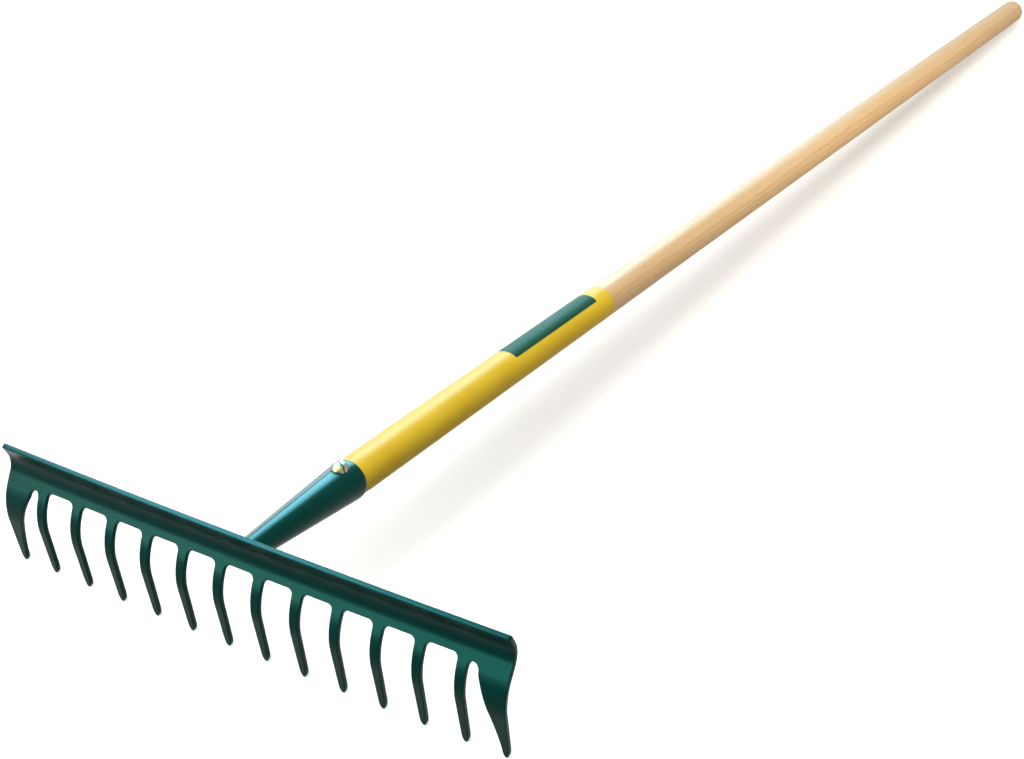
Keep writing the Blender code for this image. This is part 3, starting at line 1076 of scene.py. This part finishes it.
    def edge_strip(self, outline: np.ndarray) -> np.ndarray:
        """The rounded edge along a closed boundary.

        At each point it leaves the boundary along the mean of the two neighbouring outward directions, in a
        quarter circle, a straight and another quarter circle.

        Args:
            outline: (x, depth) rows in order round the comb.

        Returns:
            Pressed points, one row for each point of the boundary.
        """
        steps = np.roll(outline, -1, axis=0) - outline
        steps /= np.linalg.norm(steps, axis=1, keepdims=True)
        outward = pairs(steps[:, 1], -steps[:, 0])
        before = np.roll(outward, 1, axis=0)
        mitre = (outward + before) / (1 + np.sum(outward * before, axis=1, keepdims=True))
        turn = quarter_turn(self.round_steps)
        out = self.edge_round * np.concatenate([np.sin(turn), np.sin(turn)[::-1]])
        front = self.sheet / 2 - self.edge_round + self.edge_round * np.cos(turn)
        forward = np.concatenate([front, -front[::-1]])
        return self.press(outline[:, :1] + mitre[:, :1] * out, outline[:, 1:] + mitre[:, 1:] * out, forward)

    def build(self, bench: Bench) -> list[bpy.types.Object]:
        """Builds both faces of the comb and the rounded edge that runs all round it, and paints it.

        Args:
            bench: the stand and the shared node groups.

        Returns:
            The head.
        """
        band = self.band()
        teeth = self.teeth(band[0][-1], band[1][-1])
        skin = Skin()
        for face in Face:
            for x, depth in [band] + [grid for _, _, grid in teeth]:
                skin.add(self.press(x, depth, face.value * self.sheet / 2))
        # The rounded edge strip carries the mark on which the enamel paints its edge shade.
        skin.add(self.edge_strip(self.boundary(band, teeth)), mark=1.0, round_rows=True)
        comb = skin.piece("head_pressed_comb", bench.stand)
        return [bench.settle(comb, "rake_head", Enamel(name="green_enamel"))]


# Socket, weld and screw.


@dataclass
class HandleSocket:
    """The cone of sheet steel behind the head, from the blade's back to its rounded mouth."""

    head: Head
    length: float = 0.1225
    wall: float = 0.0012
    nose_radius: float = 0.0074
    mouth_radius: float = 0.01495
    lip_length: float = 0.0030
    lip_edge: float = 0.0003
    bore_round: float = 0.0002
    sunk: float = 0.0002
    steps: int = 144
    rows: int = 60
    lip_steps: int = 10
    bore_steps: int = 3
    meeting_rounds: int = 12

    @property
    def slope(self) -> float:
        """How much the cone's radius grows along its length."""
        return (self.mouth_radius - self.nose_radius) / self.length

    def radius(self, y: np.ndarray | float) -> np.ndarray | float:
        """Outer radius of the cone, which grows evenly from the nose to the mouth."""
        return self.nose_radius + self.slope * y

    def build(self, bench: Bench) -> list[bpy.types.Object]:
        """Builds the cone as one closed grid: out along the wall, round the lip and back along the bore.

        At each angle the wall starts where the cone meets the blade's back, which is found by repeated
        substitution.

        Args:
            bench: the stand and the shared node groups.

        Returns:
            The socket.
        """
        angle = whole_turn(self.steps)
        start = np.zeros_like(angle)
        for _ in range(self.meeting_rounds):
            start = self.head.back_place(self.radius(start) * np.sin(angle)) - self.sunk
        lip_start = self.length - self.lip_length
        outer = start + shares(self.rows) * (lip_start - start)
        bore = outer[::-1]
        edge = self.radius(self.length) - self.wall + self.lip_edge
        lip = arc((edge, lip_start), (self.radius(lip_start) - edge, self.lip_length), 0, 90, self.lip_steps)
        inner = arc((edge, self.length - self.bore_round), (self.lip_edge, self.bore_round), 90, 180,
                    self.bore_steps)
        mouth = np.concatenate([lip[1:], inner[1:]])
        radius = np.concatenate([self.radius(outer), mouth[:, :1] + 0 * angle, self.radius(bore) - self.wall])
        y = np.concatenate([outer, mouth[:, 1:] + 0 * angle, bore])
        skin = Skin().add(around(radius, y, angle), round_rows=True, round_columns=True)
        cone = skin.piece("socket_cone", bench.stand)
        finish = Enamel(name="green_enamel_socket", gloss=0.12)
        return [bench.settle(cone, "handle_socket", finish)]


@dataclass
class WeldBead:
    """The bead round the socket's nose, with the even ripples of a welded seam."""

    socket: HandleSocket
    radius: float = 0.0026
    standoff: float = 0.0006
    ripples: int = 26
    ripple: float = 0.09
    crescent: float = 0.9
    unevenness: float = 0.02
    slow_waves: tuple[int, int] = (3, 5)
    slow_phase: float = 0.7
    steps: int = 260
    facets: int = 20
    sharp: float = 70.0

    def build(self, bench: Bench) -> list[bpy.types.Object]:
        """Builds the bead as a ring whose own circle swells and shrinks with each ripple.

        The swelling is the root of a half wave, which gives round scales with narrow creases, and its phase
        leans with the cosine of the turn, which bends each crease to a crescent. Two slow waves round the
        ring make it uneven.

        Args:
            bench: the stand and the shared node groups.

        Returns:
            The bead.
        """
        head = self.socket.head
        ring = self.socket.radius(float(head.back_place(np.array(0.0)))) + self.standoff
        angle = whole_turn(self.steps)[:, None]
        turn = whole_turn(self.facets)
        lean = self.crescent * np.cos(turn - math.tau / 8)
        swell = np.sqrt(np.abs(np.sin(self.ripples / 2 * (angle + lean * math.tau / self.ripples))))
        few, many = self.slow_waves
        slow = np.sin(few * angle + self.slow_phase) + np.sin(many * angle)
        size = self.radius * (1 - self.ripple + self.ripple * swell + self.unevenness * (slow - 2))
        middle = head.back_place(ring * np.sin(angle)) + self.standoff
        grid = around(ring + size * np.cos(turn), middle + size * np.sin(turn), angle)
        skin = Skin().add(grid, round_rows=True, round_columns=True)
        bead = skin.piece("weld_bead", bench.stand, self.sharp)
        finish = Enamel(name="green_enamel_weld", rough=(0.3615, 0.3805), waves=700.0, depth=0.00006)
        return [bench.settle(bead, "socket_weld", finish)]


@dataclass
class FixingScrew:
    """A slotted round-head screw through the top of the socket."""

    socket: HandleSocket
    setback: float = 0.012
    head_radius: float = 0.0062
    head_height: float = 0.0042
    rim_round: float = 0.00025
    under_inset: float = 0.0004
    head_zone: float = 0.002
    fit: float = 0.0003
    shank_radius: float = 0.0022
    length: float = 0.020
    point: float = 0.006
    point_round: float = 0.0012
    point_share: float = 0.3
    slot_width: float = 0.0012
    slot_depth: float = 0.0012
    slot_turn: float = math.radians(-20.0)
    steps: int = 96
    dome_steps: int = 20
    rim_steps: int = 3
    under_steps: int = 7
    sharp: float = 40.0

    @property
    def place(self) -> float:
        """Place of the screw along the handle."""
        return self.socket.length - self.setback

    @property
    def cone(self) -> float:
        """Radius of the cone under the screw."""
        return self.socket.radius(self.place)

    @property
    def seat(self) -> float:
        """Height of the head's underside above the handle's axis."""
        return self.cone + self.fit

    def head_grid(self, angle: np.ndarray) -> Grid:
        """The head: half an ellipse in profile, a rounded rim and a cup that follows the cone.

        At an angle a and a radius r the cup lies as high as the root of the cone's radius squared less
        (r cos a) squared. The dome takes on this saddle by the square of its way down.

        Args:
            angle: angles about the screw's own axis.

        Returns:
            The radius and the height at each point of the profile and each angle.
        """
        dome = arc((0.0, 0.0), (self.head_radius, self.head_height), 90, 0, self.dome_steps)
        rim_radii = (self.rim_round, self.rim_round)
        rim = arc((self.head_radius - self.rim_round, -self.rim_round), rim_radii, 0, -90, self.rim_steps)
        under = np.linspace(self.head_radius - self.under_inset, self.shank_radius, self.under_steps + 1)
        profile = np.concatenate([dome, rim, pairs(under, -self.rim_round)])
        follow = np.ones((len(profile), 1))
        follow[:len(dome), 0] = np.linspace(0.0, 1.0, len(dome)) ** 2
        radius = profile[:, :1] + 0 * angle
        saddle = np.sqrt(self.cone ** 2 - (radius * np.cos(angle)) ** 2) - self.cone
        return radius, self.seat + profile[:, 1:] + follow * saddle

    def build(self, bench: Bench) -> list[bpy.types.Object]:
        """Builds the screw by turning its head and shank about its own axis, cuts the slot and plates it.

        The head's points are lifted along the handle with the cone's slope.

        Args:
            bench: the stand and the shared node groups.

        Returns:
            The screw.
        """
        angle = whole_turn(self.steps)
        radius, height = self.head_grid(angle)
        tip = self.seat - self.length
        shank = np.array([(self.shank_radius, tip + self.point),
                          (self.shank_radius * self.point_share, tip + self.point_round), (0.0, tip)])
        radius = np.concatenate([radius, shank[:, :1] + 0 * angle])
        height = np.concatenate([height, shank[:, 1:] + 0 * angle])
        y = self.place + radius * np.sin(angle)
        height = height + self.socket.slope * (y - self.place) * (height > self.cone - self.head_zone)
        grid = np.stack([radius * np.cos(angle), y, height], axis=-1)
        screw = Skin().add(grid, round_columns=True).piece("screw_round_head", bench.stand, self.sharp)
        self.cut_slot(screw, bench.stand)
        finish = ZincPlate(name="bright_zinc", centre=(0.0, self.place, self.cone),
                           slot_half=self.slot_width / 2, slot_turn=self.slot_turn)
        return [bench.settle(screw, "fixing_screw", finish)]

    def cut_slot(self, screw: bpy.types.Object, stand: Stand) -> None:
        """Cuts the slot with a straight bar across the head.

        Args:
            screw: the screw, already on the floor's frame.
            stand: how the rake lies on the floor.
        """
        bm = bmesh.new()
        bmesh.ops.create_cube(bm, size=1.0)
        bar = Matrix.Diagonal((4 * self.head_radius, self.slot_width, 2 * self.slot_depth, 1.0))
        top = Matrix.Translation((0.0, self.place, self.seat + self.head_height))
        bm.transform(stand.matrix() @ top @ Matrix.Rotation(self.slot_turn, 4, "Z") @ bar)
        mesh = bpy.data.meshes.new("slot_bar")
        bm.to_mesh(mesh)
        bm.free()
        cut_away(screw, link("slot_bar", mesh))
        smooth(screw.data, self.sharp)


# Handle.


@dataclass
class Handle:
    """The wooden shaft with its lacquer and its label."""

    socket: HandleSocket
    radius: float = 0.0140
    end_radius: float = 0.0131
    start: float = 0.045
    length: float = 1.500
    dome: float = 0.0115
    chamfer: float = 0.0015
    shoulder_step: float = 0.00055
    fit: float = 0.0003
    coat: float = 0.0004
    coat_end: float = 0.473
    coat_bare: float = 0.004
    coat_proud: float = 0.00006
    coat_sunk: float = 0.00004
    coat_edge: float = 0.0007
    label_start: float = 0.3275
    label_length: float = 0.1255
    label_thick: float = 0.00025
    label_half_turn: float = math.radians(36.0)
    label_corner: float = 0.0015
    label_lift: float = 0.00002
    steps: int = 144
    tenon_rows: int = 11
    core_rows: int = 29
    shank_rows: int = 89
    dome_rows: int = 20
    coat_tenon_rows: int = 13
    coat_rows: int = 59
    edge_rows: int = 4
    corner_rows: int = 8
    label_rows: int = 58
    label_columns: int = 40

    @property
    def end(self) -> float:
        """Place of the grip end along the handle."""
        return self.start + self.length

    @property
    def shoulder(self) -> float:
        """Place where the tapered end reaches the shank's radius."""
        return self.socket.length + self.shoulder_step / self.socket.slope

    def shank(self, y: np.ndarray | float) -> np.ndarray | float:
        """Radius of the shank, which eases off evenly towards the grip."""
        share = (y - self.shoulder) / (self.end - self.shoulder)
        return self.radius + (self.end_radius - self.radius) * share

    def outer(self, y: np.ndarray) -> np.ndarray:
        """Radius of the coat: that of the bore less the fit, and the shank's past the shoulder."""
        tapered = self.socket.radius(y) - self.socket.wall - self.fit
        return np.where(y <= self.shoulder, tapered, self.shank(y))

    def shaft(self) -> np.ndarray:
        """The shaft's profile: a chamfered tapered end, a long shank and half an ellipse at the grip.

        Returns:
            (radius, y) rows from the thin end to the grip end.
        """
        thin = self.coat + self.fit
        tip = float(self.outer(np.array(self.start)) - thin)
        bare_start = self.coat_end + self.fit
        core_y = np.concatenate([np.linspace(self.start + self.chamfer, self.shoulder, self.tenon_rows + 1),
                                 np.linspace(self.shoulder, bare_start, self.core_rows + 1)[1:]])
        core = pairs(self.outer(core_y) - thin, core_y)
        dome_start = self.end - self.dome
        bare_y = np.linspace(bare_start, dome_start, self.shank_rows + 1)
        bare = pairs(self.shank(bare_y), bare_y)
        grip = arc((0.0, dome_start), (self.shank(dome_start), self.dome), 0, 90, self.dome_rows)[1:]
        return np.concatenate([[(0.0, self.start), (tip - self.chamfer, self.start)], core, bare, grip])

    def sleeve(self) -> np.ndarray:
        """The coat's profile: a closed loop whose far edge rounds down onto the wood.

        Returns:
            (radius, y) rows, out along the outside and back along the inside.
        """
        begin = self.start + self.coat_bare
        y = np.concatenate([np.linspace(begin, self.shoulder, self.coat_tenon_rows + 1),
                            np.linspace(self.shoulder, self.coat_end, self.coat_rows + 1)[1:]])
        outside = pairs(self.outer(y) + self.coat_proud * (y > self.shoulder), y)
        centre = (self.shank(self.coat_end) - self.coat_sunk, self.coat_end)
        edge = arc(centre, (self.coat_proud + self.coat_sunk, self.coat_edge), 0, 90, self.edge_rows)
        return np.concatenate([outside, edge[1:], pairs(self.outer(y) - self.coat, y)[::-1]])

    def label(self) -> Skin:
        """Bends the label round the coat as a thin closed shell with rounded corners.

        A flat rectangle is rolled up: its width is an angle times the handle's radius. Near each end its
        half width shrinks along a quarter circle.

        Returns:
            The label's skin.
        """
        corner = self.label_corner
        half_long = self.label_length / 2
        turn = corner * (1 - np.cos(quarter_turn(self.corner_rows)))[:-1]
        straight = np.linspace(corner, self.label_length - corner, self.label_rows + 1)
        long = np.concatenate([turn, straight, self.label_length - turn[::-1]]) - half_long
        over = np.clip(np.abs(long) - half_long + corner, 0.0, corner)
        half_wide = self.label_half_turn * self.radius - corner + np.sqrt(corner ** 2 - over ** 2)
        aside = half_wide[:, None] * np.linspace(-1.0, 1.0, self.label_columns + 1)
        y = self.label_start + half_long + long[:, None]
        skin = Skin()
        rings = []
        for lift in (self.label_lift, self.label_lift + self.label_thick):
            face = around(self.shank(y) + self.coat_proud + lift, y, math.tau / 4 + aside / self.radius)
            skin.add(face)
            rings.append(np.concatenate([face[0], face[1:, -1], face[-1, -2::-1], face[-2:0:-1, 0]]))
        return skin.add(np.stack(rings, axis=1), round_rows=True)

    def build(self, bench: Bench) -> list[bpy.types.Object]:
        """Turns the shaft and its coat, bends the label and dresses all three.

        Args:
            bench: the stand and the shared node groups.

        Returns:
            The shaft, the coat and the label.
        """
        angle = whole_turn(self.steps)
        shaft, sleeve = self.shaft(), self.sleeve()
        shaft = around(shaft[:, :1], shaft[:, 1:], angle)
        sleeve = around(sleeve[:, :1], sleeve[:, 1:], angle)
        wood = Skin().add(shaft, round_columns=True).piece("handle_wood", bench.stand)
        coat = Skin().add(sleeve, round_rows=True, round_columns=True).piece("handle_coat", bench.stand)
        label = self.label().piece("label_plain_film", bench.stand)
        varnish = VarnishedWood(name="varnished_wood", handle_end=self.end)
        return [bench.settle(wood, "handle_shaft", varnish),
                bench.settle(coat, "handle_lacquer", YellowLacquer(name="yellow_lacquer")),
                bench.settle(label, "handle_label", LabelFilm(name="label_film"))]


# Studio.


@dataclass
class Softbox:
    """A rectangular lamp that looks at a point."""

    name: str
    place: Triple
    aim: Triple
    size: Span
    power: float
    colour: Colour
    reach: Reach

    def build(self) -> bpy.types.Object:
        """Makes the lamp.

        Returns:
            The lamp object, turned to its aim.
        """
        lamp = bpy.data.lights.new(self.name, "AREA")
        lamp.shape = "RECTANGLE"
        lamp.size, lamp.size_y = self.size
        lamp.energy = self.power
        lamp.color = self.colour
        thing = link(self.name, lamp)
        thing.location = self.place
        way = Vector(self.aim) - Vector(self.place)
        thing.rotation_euler = way.to_track_quat("-Z", "Y").to_euler()
        thing.visible_camera = False
        thing.visible_diffuse = self.reach is not Reach.GLOSS
        thing.visible_glossy = self.reach is not Reach.MATT
        return thing


@dataclass
class Studio:
    """The camera at the photograph's view, a pale floor, soft lamps and the world around."""

    camera_place: Triple = (0.65974, -1.54773, 0.77021)
    camera_turn: Triple = (60.886, -1.033, 31.225)
    lens: float = 67.938
    sensor: float = 36.0
    floor_core: float = 0.2
    floor_radius: float = 14.0
    floor_sunk: float = 0.00005
    floor_rings: int = 14
    floor_steps: int = 96
    floor_pale: Colour = (0.86, 0.86, 0.86)
    floor_bright: Colour = (0.89, 0.89, 0.89)
    floor_bounce: Colour = (0.14, 0.14, 0.14)
    floor_cloud: float = 1.5
    floor_rough: float = 0.9
    glow_near: float = 0.33
    glow_fade: Span = (0.35, 1.6)
    white: Colour = (1.0, 1.0, 1.0)
    air: Colour = (0.86, 0.93, 1.0)
    air_strength: float = 0.10

    def build_camera(self) -> bpy.types.Object:
        """Makes the camera and sets it as the scene's own.

        Returns:
            The camera.
        """
        data = bpy.data.cameras.new("photo_view")
        data.lens = self.lens
        data.sensor_width = self.sensor
        camera = link("photo_view", data)
        camera.location = self.camera_place
        camera.rotation_euler = Euler([math.radians(part) for part in self.camera_turn], "XYZ")
        bpy.context.scene.camera = camera
        return camera

    def shown(self, wiring: Wiring) -> Socket:
        """Tells rays that show the background: from the camera, from gloss and through clear things.

        Args:
            wiring: the node tree of a material or the world.

        Returns:
            1 for such a ray and 0 for any other.
        """
        rays = wiring.node("LightPath").outputs
        seen = wiring.compute("MAXIMUM", rays["Is Camera Ray"], rays["Is Glossy Ray"])
        return wiring.compute("MAXIMUM", seen, rays["Is Transmission Ray"])

    def build_floor(self) -> bpy.types.Object:
        """Lays a pale disc: rings of points at growing radii round the origin.

        Its glow is white far from the rake and weaker near it, where the key lights it, so that the shadow
        stays on it.

        Returns:
            The floor.
        """
        radii = np.concatenate([[0.0], np.geomspace(self.floor_core, self.floor_radius, self.floor_rings)])
        upright = around(radii[:, None], -self.floor_sunk, whole_turn(self.floor_steps))
        lying = upright[..., [0, 2, 1]]
        floor = Skin().add(lying, round_columns=True).piece("studio_floor", Stand(0.0, 0.0, 0.0))
        material = bpy.data.materials.new("pale_floor")
        material.use_nodes = True
        wiring = Wiring(material.node_tree)
        place = wiring.node("TexCoord").outputs["Object"]
        seen = self.shown(wiring)
        cloud = wiring.noise(place, self.floor_cloud, detail=2.0)
        pale = wiring.blend(cloud, self.floor_pale, self.floor_bright)
        away = wiring.node("VectorMath", {0: place}, operation="LENGTH").outputs["Value"]
        glow = wiring.spread(away, *self.glow_fade, self.glow_near, 1.0)
        wiring.fill(material.node_tree.nodes["Principled BSDF"], {
            "Base Color": wiring.blend(seen, self.floor_bounce, pale), "Roughness": self.floor_rough,
            "Specular IOR Level": 0.0, "Emission Color": self.white,
            "Emission Strength": wiring.compute("MULTIPLY", glow, seen)})
        floor.data.materials.append(material)
        return floor

    def build_world(self) -> None:
        """Makes the world white where it is seen and a soft bluish fill for everything else."""
        world = bpy.data.worlds.new("studio_air")
        world.use_nodes = True
        bpy.context.scene.world = world
        wiring = Wiring(world.node_tree)
        seen = self.shown(wiring)
        wiring.fill(world.node_tree.nodes["Background"], {
            "Color": wiring.blend(seen, self.air, self.white),
            "Strength": wiring.spread(seen, 0.0, 1.0, self.air_strength, 1.0)})

    def lamps(self) -> list[Softbox]:
        """The lamps: a large key over the front, two fills for matt surfaces and panels for gloss alone.

        Returns:
            The lamps in the order in which they are made.
        """
        comb = (0.0, -0.77, 0.08)
        cone = (0.0, -0.70, 0.08)
        middle = (0.0, 0.0, 0.05)
        front = (0.0, -0.30, 0.05)
        wood = (0.0, 0.25, 0.05)
        rows = (
            ("key", (-0.15, -1.60, 2.35), front, (2.3, 2.0), 67.0, (1.0, 0.99, 0.97), Reach.ALL),
            ("fill_right", (0.65, 0.32, 0.28), wood, (0.9, 0.4), 4.0, (1.0, 0.82, 0.58), Reach.MATT),
            ("fill_back", (-1.0, 4.5, 2.2), middle, (2.0, 1.5), 80.0, self.white, Reach.MATT),
            ("gloss_rim", (-1.38, -1.25, 2.15), comb, (1.2, 0.8), 185.0, (0.75, 0.88, 1.0), Reach.GLOSS),
            ("gloss_front", (-1.02, -3.15, 0.50), comb, (2.2, 0.9), 116.0, (1.0, 1.0, 0.78), Reach.GLOSS),
            ("gloss_socket", (-0.90, 1.00, 1.57), cone, (1.3, 1.3), 185.0, (0.42, 0.84, 1.0), Reach.GLOSS),
            ("gloss_handle", (-3.2, 3.0, 0.68), middle, (3.0, 1.3), 105.0, (0.60, 0.88, 1.0), Reach.GLOSS),
        )
        return [Softbox(*row) for row in rows]

    def build(self) -> None:
        """Builds the whole studio."""
        self.build_camera()
        self.build_floor()
        self.build_world()
        for lamp in self.lamps():
            lamp.build()
        bpy.context.scene.view_settings.view_transform = "Standard"


def main() -> None:
    """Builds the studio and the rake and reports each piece."""
    logging.basicConfig(level=logging.INFO, format="%(message)s", force=True)
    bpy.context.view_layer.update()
    Studio().build()
    head = Head()
    socket = HandleSocket(head)
    handle = Handle(socket)
    bench = Bench(Stand.under(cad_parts["handle_shaft"], handle.end), Groups.make())
    log.info("stand: y %.7f, z %.7f, tilt %.7f", bench.stand.y, bench.stand.z, bench.stand.tilt)
    for part in (head, socket, WeldBead(socket), FixingScrew(socket), handle):
        for piece in part.build(bench):
            lows, highs = piece.bound_box[0], piece.bound_box[6]
            spans = " x ".join(f"{(high - low) * 1000:.1f}" for low, high in zip(lows, highs))
            log.info("%s: %d faces, %s mm", piece.name, len(piece.data.polygons), spans)


if __name__ == "__main__":
    main()
